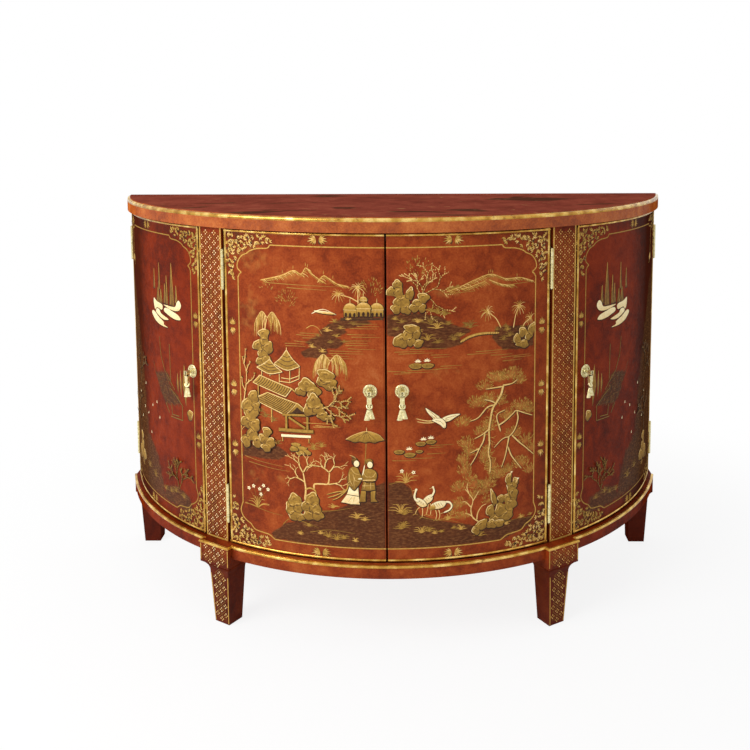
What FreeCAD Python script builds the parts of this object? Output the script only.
import FreeCAD, Part
import os
from math import acos, asin, atan2, cos, degrees, radians, sin, sqrt
from FreeCAD import Vector

# A half-moon lacquer cabinet with four curved doors on butt hinges, drop pulls and four square legs.
# Millimetres. +Z is up, the front faces -Y, and the origin is on the floor under the middle of the cabinet.
# Angles are degrees round the plan circle, from the front centre, and positive towards the right.

# Body: every curved face follows one circle whose centre lies behind the back plane
height = 838.0
body_radius = 630.0
centre_behind_back = 132.0
board = 18.0
front_thickness = 20.0
front_seat_gap = 1.0

# Top board and its gilt bead
top_thickness = 29.0
top_overhang = 9.5
top_bead_width = 6.0
top_bead_height = 7.0
top_bead_drop = 1.5

# Base mouldings
base_top = 175.0
apron_height = 26.0
apron_overhang = 12.0
ledge_overhang = 9.0
base_bead_height = 6.0
base_bead_overhang = 14.0
base_bead_round = 2.8
base_bead_facets = 3
back_rail_height = 38.0
back_rail_thickness = 22.0

# Front legs
leg_angle = 32.3
leg_set_in = 16.0
leg_head = 76.0
leg_shaft = 49.0
leg_foot = 37.5
leg_cove_height = 22.0
leg_cove_bottom = 108.0
leg_bead_set_in = 3.0
leg_bead_overhang = 2.0

# Rear legs
rear_leg_head_width = 66.0
rear_leg_head_depth = 53.0
rear_leg_shaft_width = 46.0
rear_leg_shaft_depth = 46.0
rear_leg_foot_width = 37.0
rear_leg_foot_depth = 38.0

# Fixed uprights in the curved front
hinge_gap_angle = 30.27
stile_outer_angle = 36.25
hinge_gap = 7.0
closing_gap = 3.0
seam_gap = 3.8
rear_post_width = 32.0
rear_post_depth = 40.0

# Doors
door_thickness = 20.0
door_top_gap = 2.0
door_bottom_gap = 2.0
door_bead_width = 5.0
door_bead_rise = 1.3

# Inside
back_thickness = 9.0
shelf_height = 482.0
shelf_set_back = 45.0
cleat = 15.0
cleat_end_gap = 30.0
corner_block = 30.0
corner_block_width = 50.0

# Catches
catch_width = 30.0
catch_depth = 15.0
catch_height = 14.0
catch_from_edge = 40.0
strike_width = 20.0
strike_thickness = 1.2
strike_seat_gap = 0.3
strike_clearance = 0.6
strike_edge_clearance = 1.0

# Butt hinges
hinge_height = 76.2
hinge_from_door_top = 41.0
hinge_from_door_bottom = 41.8
hinge_pin_out = 2.0
knuckle_radius = 3.2
knuckle_count = 5
knuckle_gap = 0.3
hinge_pin_radius = 1.3
hinge_pin_cap = 1.4
hinge_pin_cap_radius = 2.6
leaf_thickness = 1.5
leaf_width = 16.0
leaf_clearance = 0.4
pin_clearance = 0.05

# Countersunk screws
screw_length = 14.0
screw_radius = 1.4
screw_head_radius = 2.8
screw_head_height = 1.4
screw_clearance = 0.06
hinge_screw_depth = 8.5
hinge_screw_spacing = 27.0
back_screw_spacing = 280.0
back_top_screws = 4
back_screw_height_shares = (0.15, 0.55, 0.85)

# Drop pulls
pull_height = 510.0
pull_from_edge = 28.0
rosette_radius = 13.3
rosette_rim = 2.0
rosette_recess_radius = 8.4
rosette_recess_floor = 1.0
rosette_boss_radius = 4.6
rosette_boss_height = 3.2
rosette_pearls = 16
rosette_pearl_radius = 1.3
rosette_pearl_ring = 10.9
pull_standoff = 14.0
post_neck_radius = 2.5
post_bolt_radius = 2.0
post_head = 8.0
post_head_depth = 8.4
post_slot_width = 3.4
post_slot_room = 3.2
nut_radius = 4.5
nut_height = 3.5
cross_pin_radius = 1.0
tongue_thickness = 2.8
tongue_radius = 2.8
neck_length = 6.2
neck_depth = 3.9
shank_flange = 1.5
shank_flange_width = 9.8
shank_flange_depth = 6.6
shank_width = 8.6
shank_depth = 5.6
shank_bottom = 20.5
knot_height = 24.4
knot_radius = 4.7
knot_band = 1.8
knot_lean = 60.0
knot_tilt = 22.0
collar_top = 30.5
collar_bottom = 34.0
collar_radius = 5.3
collar_depth_share = 0.7
tail_top_radius = 3.8
tail_bottom_radius = 5.6
tail_depth_share = 0.6
tail_top_offset = 1.2
tail_bottom_offset = 5.0
tail_long = 50.5
tail_short = 47.8

# Overrun for cutting tools
overrun = 40.0

# Levels, radii and angles worked out from the sizes above
top_underside = height - top_thickness
carcase_top_bottom = top_underside - board
bottom_board_bottom = base_top - board
apron_bottom = base_top - apron_height
bead_bottom = base_top - base_bead_height
leg_head_bottom = leg_cove_bottom + leg_cove_height
door_inner = body_radius - door_thickness
frame_radius = body_radius - front_thickness - front_seat_gap
door_bottom = base_top + door_bottom_gap
door_top = top_underside - door_top_gap
leg_radius = body_radius - leg_set_in
shelf_radius = body_radius - shelf_set_back
stile_mid_angle = (hinge_gap_angle + stile_outer_angle) / 2
rear_gap_angle = degrees(acos(centre_behind_back / body_radius) - rear_post_width / body_radius)
hinge_axis_radius = body_radius + hinge_pin_out
hinge_tops = (door_top - hinge_from_door_top, door_bottom + hinge_from_door_bottom + hinge_height)
hinge_angles = (hinge_gap_angle, rear_gap_angle)
strike_outer = door_inner - strike_seat_gap
catch_front = strike_outer - strike_thickness - strike_clearance
catch_turn = degrees(asin(catch_from_edge / body_radius))
tip_radius = body_radius + pull_standoff + post_head_depth / 2
pull_centre_angle = degrees(asin((seam_gap / 2 + pull_from_edge) / body_radius))
pull_side_angle = stile_outer_angle + degrees(asin((closing_gap / 2 + pull_from_edge) / body_radius))

# The origin is the middle of the depth, from the back plane to the tips of the centre pulls
tip_reach = tip_radius * cos(radians(pull_centre_angle)) + post_head / 2 * sin(radians(pull_centre_angle))
depth = tip_reach - centre_behind_back
back_y = depth / 2
circle_y = back_y + centre_behind_back
body_half_width = sqrt(body_radius ** 2 - centre_behind_back ** 2)
partition_x = frame_radius * sin(radians(stile_mid_angle))

X_AXIS = Vector(1, 0, 0)
Y_AXIS = Vector(0, 1, 0)
Z_AXIS = Vector(0, 0, 1)
ORIGIN = Vector(0, 0, 0)

# Of the two sides of a hinge gap, the fixed upright stands on the right and the door on the left
FRAME_SIDE = 1
DOOR_SIDE = -1
FIRST_KNUCKLE = {FRAME_SIDE: 0, DOOR_SIDE: 1}

# A flat end that points straight sideways from the circle's centre
SIDEWAYS = (90, 0)


def polar(radius, angle, z=0.0):
    """A point at a radius and an angle of the plan circle."""
    turn = radians(angle)
    return Vector(radius * sin(turn), circle_y - radius * cos(turn), z)


def edge_angle(angle, offset, radius):
    """Where a plane beside a radial plane, offset sideways, meets a radius."""
    return angle + degrees(asin(offset / radius))


def arc(radius, first, last, z):
    """An arc of the plan circle."""
    middle = (first + last) / 2
    return Part.Arc(polar(radius, first, z), polar(radius, middle, z), polar(radius, last, z)).toShape()


def ring(inner, outer, low, high, start, end):
    """A curved board whose flat ends are each given as an angle and a sideways offset from it."""
    inner_first, outer_first = (edge_angle(*start, radius) for radius in (inner, outer))
    inner_last, outer_last = (edge_angle(*end, radius) for radius in (inner, outer))
    edges = [arc(outer, outer_first, outer_last, low),
             Part.makeLine(polar(outer, outer_last, low), polar(inner, inner_last, low)),
             arc(inner, inner_last, inner_first, low),
             Part.makeLine(polar(inner, inner_first, low), polar(outer, outer_first, low))]
    return Part.Face(Part.Wire(edges)).extrude(Vector(0, 0, high - low))


def segment(radius, low, high, back):
    """A flat board with a round front and a straight back."""
    half = sqrt(radius ** 2 - (circle_y - back) ** 2)
    left = Vector(-half, back, low)
    right = Vector(half, back, low)
    front = Part.Arc(left, polar(radius, 0, low), right).toShape()
    return Part.Face(Part.Wire([front, Part.makeLine(right, left)])).extrude(Vector(0, 0, high - low))


def disc(radius, low, high):
    """A round board about the centre of the plan circle."""
    return Part.makeCylinder(radius, high - low, Vector(0, circle_y, low))


def block(x_range, y_range, z_range):
    """A box between pairs of limits."""
    low = Vector(x_range[0], y_range[0], z_range[0])
    return Part.makeBox(x_range[1] - x_range[0], y_range[1] - y_range[0], z_range[1] - z_range[0], low)


def closed_face(points):
    """A flat face from the points of its outline."""
    return Part.Face(Part.makePolygon(points + points[:1]))


def place(shape, radius, angle, z):
    """Sets a piece drawn with x sideways, y inwards and z up at a radius and an angle."""
    placed = shape.copy()
    placed.rotate(ORIGIN, Z_AXIS, angle)
    placed.translate(polar(radius, angle, z))
    return placed


def mirrored(shape):
    """The same piece on the left."""
    return shape.mirror(ORIGIN, X_AXIS)


def join(shapes):
    """One solid from overlapping ones."""
    shapes = list(shapes)
    return shapes[0].multiFuse(shapes[1:]).removeSplitter()


def group(shapes):
    """Separate solids kept in one node."""
    return Part.makeCompound([solid for shape in shapes for solid in shape.Solids])


def leg_profile(foot, shaft, head, top):
    """Outline of one side of a leg from its middle line: foot, tapered shaft, cove and head."""
    rise = leg_cove_height
    run = head - shaft
    cove_radius = (run ** 2 + rise ** 2) / (2 * run)
    sweep = atan2(rise, cove_radius - run) / 2
    middle = Vector(shaft + cove_radius * (1 - cos(sweep)), 0, leg_cove_bottom + cove_radius * sin(sweep))
    points = [Vector(foot, 0, 0), Vector(shaft, 0, leg_cove_bottom), Vector(head, 0, leg_head_bottom),
              Vector(head, 0, top)]
    return [Part.makeLine(points[0], points[1]), Part.Arc(points[1], middle, points[2]).toShape(),
            Part.makeLine(points[2], points[3])]


def leg_slab(half_widths, top, width):
    """A slab as wide as the leg whose two sides have the leg's outline."""
    right = leg_profile(*half_widths, top)
    left = [edge.mirror(ORIGIN, X_AXIS) for edge in right]
    foot, _, head = half_widths
    sole = Part.makeLine(Vector(-foot, 0, 0), Vector(foot, 0, 0))
    crown = Part.makeLine(Vector(head, 0, top), Vector(-head, 0, top))
    outline = Part.Wire(Part.__sortEdges__([sole, *right, crown, *left]))
    slab = Part.Face(outline).extrude(Vector(0, width, 0))
    slab.translate(Vector(0, -width / 2, 0))
    return slab


def front_leg():
    """Square leg with a cove on its four sides and a rebate for the bead round its head."""
    across = leg_slab((leg_foot / 2, leg_shaft / 2, leg_head / 2), base_top, leg_head)
    along = across.copy()
    along.rotate(ORIGIN, Z_AXIS, 90)
    inner = leg_head / 2 - leg_bead_set_in
    outer = leg_head / 2 + overrun
    rebate = block((-outer, outer), (-outer, outer), (bead_bottom, base_top))
    rebate = rebate.cut(block((-inner, inner), (-inner, inner), (bead_bottom, base_top)))
    return place(across.common(along).cut(rebate), leg_radius, leg_angle, 0)


def rear_leg():
    """Leg with a straight back face; its head stands out beside the body."""
    widths = (rear_leg_foot_width / 2, rear_leg_shaft_width / 2, rear_leg_head_width / 2)
    depths = (rear_leg_foot_depth, rear_leg_shaft_depth, rear_leg_head_depth)
    across = leg_slab(widths, bead_bottom, 2 * rear_leg_head_depth)
    along = leg_slab(depths, bead_bottom, rear_leg_head_width)
    along.rotate(ORIGIN, Z_AXIS, 90)
    behind = block((-rear_leg_head_width, rear_leg_head_width), (0, 2 * rear_leg_head_depth), (0, height))
    leg = across.common(along).cut(behind)
    leg.translate(Vector(body_half_width - rear_leg_head_width / 2, back_y, 0))
    return leg


def rear_post():
    """Corner upright between the side door's hinges and the back plane."""
    past_back = ring(body_radius - rear_post_depth, body_radius, base_top, top_underside,
                     (rear_gap_angle, hinge_gap / 2), SIDEWAYS)
    behind = block((0, body_radius + overrun), (back_y, circle_y + overrun), (0, height))
    return past_back.cut(behind)


def screw(clearance=0.0):
    """Countersunk screw along -Z, or the hole for one; the top of its head is at the origin."""
    head = Part.makeCone(screw_radius + clearance, screw_head_radius + clearance, screw_head_height,
                         Vector(0, 0, -screw_head_height))
    shank = Part.makeCylinder(screw_radius + clearance, screw_length + clearance, ORIGIN, -Z_AXIS)
    return head.fuse(shank).removeSplitter()


def sideways_screw(side, clearance=0.0):
    """A screw that runs sideways out of a hinge gap, towards side."""
    turned = screw(clearance)
    turned.rotate(ORIGIN, Y_AXIS, -90 * side)
    turned.translate(Vector(side * (hinge_gap / 2 - leaf_thickness), hinge_screw_depth + hinge_pin_out, 0))
    return turned


def hinge_screw_heights():
    """Heights of the three screws of each leaf."""
    for top in hinge_tops:
        for step in (-1, 0, 1):
            yield top - hinge_height / 2 + step * hinge_screw_spacing


def hinge_screws(angle, side, clearance=0.0):
    """The screws of the leaves on one side of a hinge gap."""
    piece = sideways_screw(side, clearance)
    return [place(piece, hinge_axis_radius, angle, z) for z in hinge_screw_heights()]


def knuckle_spans(side):
    """Height limits of the knuckles that belong to one leaf, from the bottom of the barrel."""
    pitch = hinge_height / knuckle_count
    for index in range(FIRST_KNUCKLE[side], knuckle_count, 2):
        low = index * pitch + (knuckle_gap / 2 if index else 0)
        high = (index + 1) * pitch - (knuckle_gap / 2 if index < knuckle_count - 1 else 0)
        yield low, high


def leaf(side):
    """A hinge leaf with its knuckles, its pin axis on Z and its plate on one side of the gap."""
    outside = side * hinge_gap / 2
    inside = side * (hinge_gap / 2 - leaf_thickness)
    sides = tuple(sorted((outside, inside)))
    plate_start = knuckle_radius + leaf_clearance
    pieces = [block(sides, (plate_start, hinge_pin_out + leaf_width), (0, hinge_height))]
    for low, high in knuckle_spans(side):
        pieces.append(Part.makeCylinder(knuckle_radius, high - low, Vector(0, 0, low)))
        pieces.append(block(sides, (0, plate_start), (low, high)))
    bore = Part.makeCylinder(hinge_pin_radius + pin_clearance, hinge_height)
    return join(pieces).cut(bore)


def hinge_leaves(angle, side):
    """The upper and lower leaves on one side of a hinge gap, with their screw holes."""
    holes = hinge_screws(angle, side, screw_clearance)
    for top in hinge_tops:
        yield place(leaf(side), hinge_axis_radius, angle, top - hinge_height).cut(holes)


def hinge_pins(angle):
    """Hinge pins with a round cap at each end."""
    for top in hinge_tops:
        pin = Part.makeCylinder(hinge_pin_radius, hinge_height)
        for end, way in ((0, -Z_AXIS), (hinge_height, Z_AXIS)):
            cap = Part.makeCylinder(hinge_pin_cap_radius, hinge_pin_cap, Vector(0, 0, end), way)
            pin = pin.fuse(cap)
        yield place(pin.removeSplitter(), hinge_axis_radius, angle, top - hinge_height)


def pull_pieces(angle):
    """Rosette, bolt with its nut, and hanging drop of one pull."""
    return {"pull_rosette": set_on_door(rosette_plate(), angle), "pull_post": set_on_door(pull_post(), angle),
            "pull_drop": place(pull_drop(), body_radius + pull_standoff, angle, pull_height)}


def set_on_door(shape, angle):
    """Turns a piece drawn with z outwards, and sets it on the door's face at the pull's height."""
    turned = shape.copy()
    turned.rotate(ORIGIN, X_AXIS, 90)
    return place(turned, body_radius, angle, pull_height)


def revolved(points):
    """A solid turned about Z from an outline of radius and height pairs."""
    return closed_face([Vector(radius, 0, z) for radius, z in points]).revolve(ORIGIN, Z_AXIS, 360)


def rosette_plate():
    """Dished round backplate with a ring of pearls."""
    slope = rosette_rim - rosette_recess_floor
    bore = post_bolt_radius + pin_clearance
    outline = [(bore, 0),
               (rosette_radius, 0),
               (rosette_radius, rosette_recess_floor),
               (rosette_radius - slope, rosette_rim),
               (rosette_recess_radius + slope, rosette_rim),
               (rosette_recess_radius, rosette_recess_floor),
               (rosette_boss_radius + slope, rosette_recess_floor),
               (rosette_boss_radius, rosette_boss_height),
               (bore, rosette_boss_height)]
    pearls = []
    for index in range(rosette_pearls):
        pearl = Part.makeSphere(rosette_pearl_radius, Vector(rosette_pearl_ring, 0, rosette_rim))
        pearl.rotate(ORIGIN, Z_AXIS, index * 360 / rosette_pearls)
        pearls.append(pearl)
    return join([revolved(outline), *pearls])


def pull_post():
    """Bolt through the door, with a nut inside, a neck and a forked head with its cross pin."""
    head_start = pull_standoff - post_head_depth / 2
    half = post_head / 2
    slot = post_slot_width / 2
    bolt_length = door_thickness + nut_height
    bolt = Part.makeCylinder(post_bolt_radius, bolt_length + pull_standoff / 2, Vector(0, 0, -bolt_length))
    nut = Part.makeCylinder(nut_radius, nut_height, Vector(0, 0, -bolt_length))
    reach = head_start - rosette_boss_height
    neck = Part.makeCylinder(post_neck_radius, reach, Vector(0, 0, rosette_boss_height))
    head = block((-half, half), (-half, half), (head_start, head_start + post_head_depth))
    room = block((-slot, slot), (-half - overrun, post_slot_room),
                 (pull_standoff - post_slot_room, pull_standoff + overrun))
    pin = Part.makeCylinder(cross_pin_radius, post_head, Vector(-half, 0, pull_standoff), X_AXIS)
    return join([bolt, nut, neck, head]).cut(room).fuse(pin).removeSplitter()


def squashed(shape, share):
    """The shape with its depth scaled by a share."""
    scale = FreeCAD.Matrix()
    scale.scale(1, share, 1)
    return shape.transformGeometry(scale)


def tail(side, length):
    """One flared ribbon end of a drop."""
    rings = []
    for radius, offset, z in ((tail_top_radius, tail_top_offset, -collar_top),
                              (tail_bottom_radius, tail_bottom_offset, -length)):
        ellipse = Part.Ellipse(Vector(side * offset, 0, z), radius, radius * tail_depth_share)
        rings.append(Part.Wire(ellipse.toShape()))
    return Part.makeLoft(rings, True, True)


def pull_drop():
    """Hanging drop: tongue, square shank, knot, collar and two ribbon tails; its pivot is the origin."""
    half_tongue = tongue_thickness / 2
    eye = Part.makeCylinder(tongue_radius, tongue_thickness, Vector(-half_tongue, 0, 0), X_AXIS)
    neck = block((-half_tongue, half_tongue), (-neck_depth / 2, neck_depth / 2), (-neck_length, 0))
    bore_radius = cross_pin_radius + pin_clearance
    bore = Part.makeCylinder(bore_radius, 2 * post_head, Vector(-post_head, 0, 0), X_AXIS)
    flange = block((-shank_flange_width / 2, shank_flange_width / 2),
                   (-shank_flange_depth / 2, shank_flange_depth / 2),
                   (-neck_length - shank_flange, -neck_length))
    shank = block((-shank_width / 2, shank_width / 2), (-shank_depth / 2, shank_depth / 2),
                  (-shank_bottom, -neck_length))
    knot = Part.makeTorus(knot_radius, knot_band)
    knot.rotate(ORIGIN, X_AXIS, knot_lean)
    knot.rotate(ORIGIN, Y_AXIS, knot_tilt)
    knot.translate(Vector(0, 0, -knot_height))
    stem = Part.makeCylinder(shank_depth / 2, collar_top - shank_bottom, Vector(0, 0, -collar_top))
    collar = squashed(Part.makeCylinder(collar_radius, collar_bottom - collar_top), collar_depth_share)
    collar.translate(Vector(0, 0, -collar_bottom))
    return join([eye, neck, flange, shank, stem, knot, collar, tail(-1, tail_long),
                 tail(1, tail_short)]).cut(bore)


def bead_outline(width, rise):
    """A shallow round bead seen end on, with x across it and y inwards."""
    back = Part.makeLine(Vector(width / 2, rise, 0), Vector(-width / 2, rise, 0))
    left = Part.makeLine(Vector(-width / 2, rise, 0), Vector(-width / 2, 0, 0))
    crown = Part.Arc(Vector(-width / 2, 0, 0), Vector(0, -rise, 0), Vector(width / 2, 0, 0)).toShape()
    right = Part.makeLine(Vector(width / 2, 0, 0), Vector(width / 2, rise, 0))
    return Part.Face(Part.Wire([back, left, crown, right]))


def door_bead(start, end, sides):
    """Round bead planted along the top and bottom of a door's face and up some of its side edges."""
    half = door_bead_width / 2
    bars = []
    for angle, offset, way in sides:
        upright = bead_outline(door_bead_width, door_bead_rise).extrude(Vector(0, 0, door_top - door_bottom))
        upright.translate(Vector(offset + way * half, body_radius - sqrt(body_radius ** 2 - offset ** 2), 0))
        bars.append(place(upright, body_radius, angle, door_bottom))
    first = edge_angle(*start, body_radius)
    last = edge_angle(*end, body_radius)
    for z in (door_bottom + half, door_top - half):
        level = bead_outline(door_bead_width, door_bead_rise)
        level.rotate(ORIGIN, Y_AXIS, 90)
        level = place(level, body_radius, first, z)
        bars.append(level.revolve(Vector(0, circle_y, z), Z_AXIS, last - first))
    return join(bars).cut(disc(body_radius, 0, height))


def door(start, end):
    """Fixed pieces of one door on the right, whose hinges are at its right edge."""
    hinge_angle = end[0]
    front_side, hinge_side = (*start, 1), (*end, -1)
    # The middle doors meet at the front centre without a bead
    beaded = (front_side, hinge_side) if start[0] else (hinge_side,)
    panel = ring(door_inner, body_radius, door_bottom, door_top, start, end)
    return {"door": panel.cut(hinge_screws(hinge_angle, DOOR_SIDE, screw_clearance)),
            "door_bead": door_bead(start, end, beaded),
            "hinge_leaves": group(hinge_leaves(hinge_angle, DOOR_SIDE)),
            "hinge_screws": group(hinge_screws(hinge_angle, DOOR_SIDE)),
            "strike_plate": strike_plate(start[0] + catch_turn)}


def strike_plate(angle):
    """Thin steel plate on the inner face of a door, in front of its catch."""
    half = strike_width / 2
    low = carcase_top_bottom - catch_height
    high = carcase_top_bottom - strike_edge_clearance
    return ring(strike_outer - strike_thickness, strike_outer, low, high, (angle, -half), (angle, half))


def catch(angle):
    """Magnetic catch under the carcase top."""
    half = catch_width / 2
    case = block((-half, half), (0, catch_depth), (0, catch_height))
    return place(case, catch_front, angle, carcase_top_bottom - catch_height)


def carcase():
    """The fixed pieces, as a dictionary of node name and shape."""
    nodes = {}
    leg = front_leg()
    rear = rear_leg()
    post = rear_post()
    legs = [leg, mirrored(leg), rear, mirrored(rear)]
    posts = [post, mirrored(post)]
    stile = ring(frame_radius, body_radius, base_top, top_underside, (hinge_gap_angle, hinge_gap / 2),
                 (stile_outer_angle, -closing_gap / 2))
    inside_back = back_y - back_thickness

    top = segment(body_radius + top_overhang, top_underside, height, back_y)
    rim = body_radius + top_overhang
    notch = disc(rim + overrun, height - top_bead_drop - top_bead_height, height + overrun)
    nodes["top_board"] = top.cut(notch.cut(disc(rim - top_bead_width, 0, 2 * height)))
    nodes["top_bead"] = top_bead()
    nodes["carcase_top"] = segment(frame_radius, carcase_top_bottom, top_underside, inside_back).cut(posts)
    nodes["bottom_board"] = segment(body_radius, bottom_board_bottom, base_top, back_y).cut(legs)

    back = block((-body_half_width, body_half_width), (inside_back, back_y), (base_top, top_underside))
    inside = disc(body_radius - rear_post_depth, 0, height)
    back_holes = back_screws(screw_clearance)
    nodes["back_panel"] = back.common(inside).cut(back_holes)
    nodes["carcase_top"] = nodes["carcase_top"].cut(back_holes)

    nodes["front_stile_right"] = stile.cut(hinge_screws(hinge_gap_angle, FRAME_SIDE, screw_clearance))
    nodes["rear_post_right"] = post.cut(hinge_screws(rear_gap_angle, FRAME_SIDE, screw_clearance))
    partition = block((partition_x - board / 2, partition_x + board / 2), (-body_radius, inside_back),
                      (base_top, carcase_top_bottom))
    nodes["partition_right"] = partition.common(disc(frame_radius, 0, height)).cut(back_holes)
    nodes["leg_front_right"] = leg
    nodes["leg_rear_right"] = rear
    side_apron, centre_apron = aprons()
    nodes["base_apron_right"] = side_apron
    nodes["side_shelf_right"] = shelf(partition_x + board / 2, body_radius)
    for name in [name for name in nodes if name.endswith("_right")]:
        nodes[name[:-len("right")] + "left"] = mirrored(nodes[name])

    nodes["base_apron_centre"] = centre_apron
    nodes["base_bead"] = base_bead()
    nodes["centre_shelf"] = shelf(-partition_x + board / 2, partition_x - board / 2)
    rail_end = body_half_width - rear_leg_head_width
    nodes["base_back_rail"] = block((-rail_end, rail_end), (back_y - back_rail_thickness, back_y),
                                    (bottom_board_bottom - back_rail_height, bottom_board_bottom))
    nodes["cleats_and_blocks"] = group(both_sides([*cleats(), *corner_blocks()]))
    catch_angles = (catch_turn, stile_outer_angle + catch_turn)
    nodes["catches"] = group(both_sides([catch(angle) for angle in catch_angles]))
    nodes["hinge_frame_leaves"] = group(both_sides(
        [piece for angle in hinge_angles for piece in hinge_leaves(angle, FRAME_SIDE)]))
    nodes["hinge_pins"] = group(both_sides([pin for angle in hinge_angles for pin in hinge_pins(angle)]))
    stile_screws = [piece for angle in hinge_angles for piece in hinge_screws(angle, FRAME_SIDE)]
    nodes["carcase_screws"] = group([*both_sides(stile_screws), *back_screws()])
    return nodes


def both_sides(shapes):
    """The pieces of the right and their mirror images."""
    return [*shapes, *(mirrored(shape) for shape in shapes)]


def top_bead():
    """Gilt quarter-round bead in the rebate along the top board's curved edge."""
    inner = body_radius + top_overhang - top_bead_width
    low = height - top_bead_drop - top_bead_height
    bead = Part.makeCylinder(inner + top_bead_width, top_bead_height, Vector(0, circle_y, low))
    rim = [edge for edge in bead.Edges if edge.BoundBox.ZMin > low + pin_clearance]
    bead = bead.makeFillet(top_bead_width - top_bead_drop, rim)
    behind = block((-2 * body_radius, 2 * body_radius), (back_y, circle_y + 2 * body_radius), (0, 2 * height))
    return bead.cut([disc(inner, 0, height), behind])


def aprons():
    """Curved aprons right of the right front leg and between the front legs, stepped under the bead."""
    half = leg_head / 2
    inner = body_radius
    side_pieces = []
    centre_pieces = []
    steps = ((apron_bottom, bead_bottom, inner + apron_overhang, half),
             (bead_bottom, base_top, inner + ledge_overhang, half - leg_bead_set_in))
    for low, high, outer, reach in steps:
        side_pieces.append(ring(inner, outer, low, high, (leg_angle, reach), SIDEWAYS))
        centre_pieces.append(ring(inner, outer, low, high, (-leg_angle, reach), (leg_angle, -reach)))
    behind = block((0, 2 * body_radius), (back_y - rear_leg_head_depth, circle_y + body_radius), (0, height))
    return join(side_pieces).cut(behind), join(centre_pieces)


def bead_points(reach):
    """The base bead's section, from its under face round its outer edge to its upper face."""
    points = [Vector(0, 0, bead_bottom)]
    for index in range(base_bead_facets + 1):
        turn = radians(90 * index / base_bead_facets)
        points.append(Vector(reach - base_bead_round * (1 - sin(turn)), 0,
                             bead_bottom + base_bead_round * (1 - cos(turn))))
    return points + [Vector(point.x, 0, bead_bottom + base_top - point.z) for point in reversed(points)]


def bead_half_disc(radius):
    """The front half of a round board as thick as the base bead, with a rounded edge."""
    board_shape = closed_face(bead_points(radius)).revolve(ORIGIN, Z_AXIS, 180)
    board_shape.rotate(ORIGIN, Z_AXIS, 180)
    board_shape.translate(Vector(0, circle_y, 0))
    return board_shape


def bead_square(half):
    """A square board as thick as the base bead, with rounded edges that meet in mitres."""
    right = bead_points(half)[1:-1]
    left = [Vector(-point.x, 0, point.z) for point in reversed(right)]
    across = closed_face(right + left).extrude(Vector(0, 2 * half, 0))
    across.translate(Vector(0, -half, 0))
    along = across.copy()
    along.rotate(ORIGIN, Z_AXIS, 90)
    return across.common(along)


def base_bead():
    """Gilt bead round the base, breaking forward round the heads of the front legs."""
    core_half = leg_head / 2 - leg_bead_set_in
    core = block((-core_half, core_half), (-core_half, core_half), (bead_bottom, base_top))
    cap = bead_square(leg_head / 2 + leg_bead_overhang)
    caps = both_sides([place(cap, leg_radius, leg_angle, 0)])
    cores = both_sides([place(core, leg_radius, leg_angle, 0)])
    inner = disc(body_radius + ledge_overhang, 0, height)
    reach = 2 * body_radius
    behind = block((-reach, reach), (back_y - rear_leg_head_depth, circle_y + reach), (0, height))
    front = bead_half_disc(body_radius + base_bead_overhang)
    return join([front, *caps]).cut([inner, *cores, behind])


def shelf(x_low, x_high):
    """A shelf with a curved front edge between two sideways limits."""
    board_shape = segment(shelf_radius, shelf_height, shelf_height + board, back_y - back_thickness)
    return board_shape.common(block((x_low, x_high), (-body_radius, back_y), (0, height)))


def cleats():
    """Battens under the shelves, on both faces of the right partition and on the back panel."""
    z_range = (shelf_height - cleat, shelf_height)
    back = back_y - back_thickness
    inner_face = partition_x - board / 2
    outer_face = partition_x + board / 2
    front = -sqrt(shelf_radius ** 2 - (outer_face + cleat) ** 2) + circle_y + cleat_end_gap
    side_end = sqrt(shelf_radius ** 2 - (circle_y - back + cleat) ** 2) - cleat_end_gap
    yield block((inner_face - cleat, inner_face), (front, back), z_range)
    yield block((outer_face, outer_face + cleat), (front, back), z_range)
    yield block((outer_face + cleat, side_end), (back - cleat, back), z_range)


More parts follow.
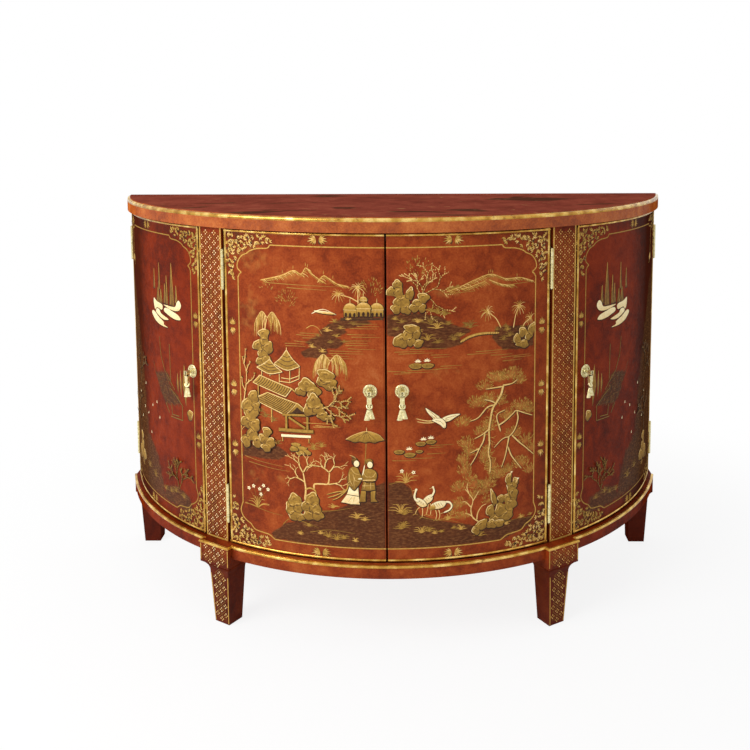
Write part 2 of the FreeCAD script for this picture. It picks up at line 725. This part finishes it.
def corner_blocks():
    """Glue blocks under the bottom board, beside the heads of the right legs."""
    half = corner_block_width / 2
    z_range = (bottom_board_bottom - corner_block, bottom_board_bottom)
    front = block((-half, half), (leg_head / 2, leg_head / 2 + corner_block), z_range)
    yield place(front, leg_radius, leg_angle, 0)
    inner_side = body_half_width - rear_leg_head_width
    rail_front = back_y - back_rail_thickness
    yield block((inner_side - corner_block, inner_side), (rail_front - corner_block, rail_front), z_range)


def back_screws(clearance=0.0):
    """Screws through the back panel into the partitions and the carcase top."""
    panel_height = top_underside - base_top
    places = []
    for share in back_screw_height_shares:
        places += [(side * partition_x, base_top + share * panel_height) for side in (-1, 1)]
    top_z = (carcase_top_bottom + top_underside) / 2
    middle = (back_top_screws - 1) / 2
    places += [((index - middle) * back_screw_spacing, top_z) for index in range(back_top_screws)]
    pieces = []
    for x, z in places:
        piece = screw(clearance)
        piece.rotate(ORIGIN, X_AXIS, -90)
        piece.translate(Vector(x, back_y, z))
        pieces.append(piece)
    return pieces


def all_nodes():
    """Every node of the cabinet."""
    nodes = carcase()
    doors = (("centre", (0, seam_gap / 2), (hinge_gap_angle, -hinge_gap / 2), pull_centre_angle),
             ("side", (stile_outer_angle, closing_gap / 2), (rear_gap_angle, -hinge_gap / 2),
              pull_side_angle))
    bolt_hole = Part.makeCylinder(post_bolt_radius + pin_clearance, 2 * overrun, Vector(0, 0, -overrun))
    for door_name, start, end, pull_angle in doors:
        right = door(start, end)
        left = {name: mirrored(shape) for name, shape in right.items()}
        for hand, pieces, angle in (("right", right, pull_angle), ("left", left, -pull_angle)):
            pieces.update(pull_pieces(angle))
            pieces["door"] = pieces["door"].cut(set_on_door(bolt_hole, angle)).cut(pieces["pull_post"])
            nodes.update({f"{name}_{door_name}_{hand}": shape for name, shape in pieces.items()})
    return nodes


os.makedirs("parts", exist_ok=True)
for node_name, node_shape in all_nodes().items():
    node_shape.exportStep(f"parts/{node_name}.step")
    print(node_name, len(node_shape.Solids), round(node_shape.Volume), node_shape.isValid())
